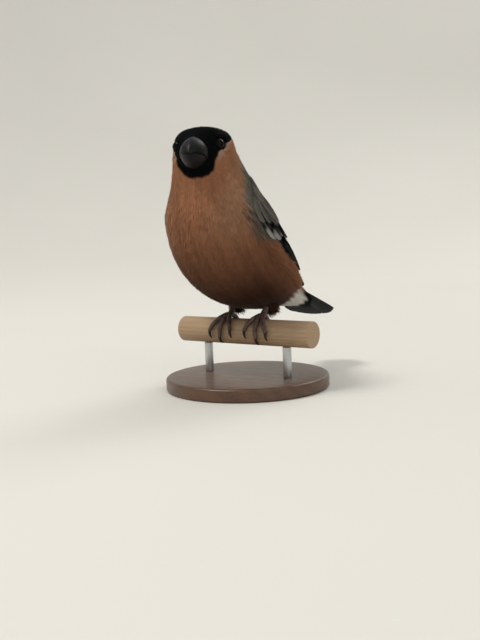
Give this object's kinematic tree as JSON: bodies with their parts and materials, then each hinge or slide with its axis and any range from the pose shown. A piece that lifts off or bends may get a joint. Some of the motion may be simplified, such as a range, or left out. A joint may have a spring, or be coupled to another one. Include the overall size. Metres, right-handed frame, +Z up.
{
  "type": "bullfinch",
  "caption": "Life-size still model of a male bullfinch gripping a short dowel perch on a flat round display stand.",
  "frame": {"origin": "centre of the stand base's underside", "axes": "+Z up, the bird's trunk faces -Y and its left side is +X; the perch lies along X"},
  "size_m": [0.076, 0.1213, 0.1174],
  "materials": {
    "cap_feathers": "blue-black feathers with a slight gloss",
    "breast_feathers": "soft brownish orange body feathers, grey on the back and white on the rump and vent",
    "flight_feathers": "blue-black flight and tail feathers with a faint gloss and pale grey covert tips",
    "leg_skin": "dark brown scaled skin with darker claws",
    "eye": "wet dark brown eye",
    "bill_horn": "dark grey horn with a dull sheen",
    "perch_wood": "plain turned softwood",
    "rod_steel": "plain round steel rod",
    "base_wood": "dark oiled wood"
  },
  "bodies": {
    "root": {"head": "cap_feathers", "neck": "breast_feathers", "torso": "breast_feathers", "wing_left": "flight_feathers", "wing_right": "flight_feathers", "tail": "flight_feathers", "thigh_left": "breast_feathers", "thigh_right": "breast_feathers", "leg_left": "leg_skin", "leg_right": "leg_skin", "eye_left": "eye", "eye_right": "eye", "bill_upper": "bill_horn", "bill_lower": "bill_horn", "perch": "perch_wood", "stand_rod_left": "rod_steel", "stand_rod_right": "rod_steel", "stand_base": "base_wood"}
  },
  "joints": []
}
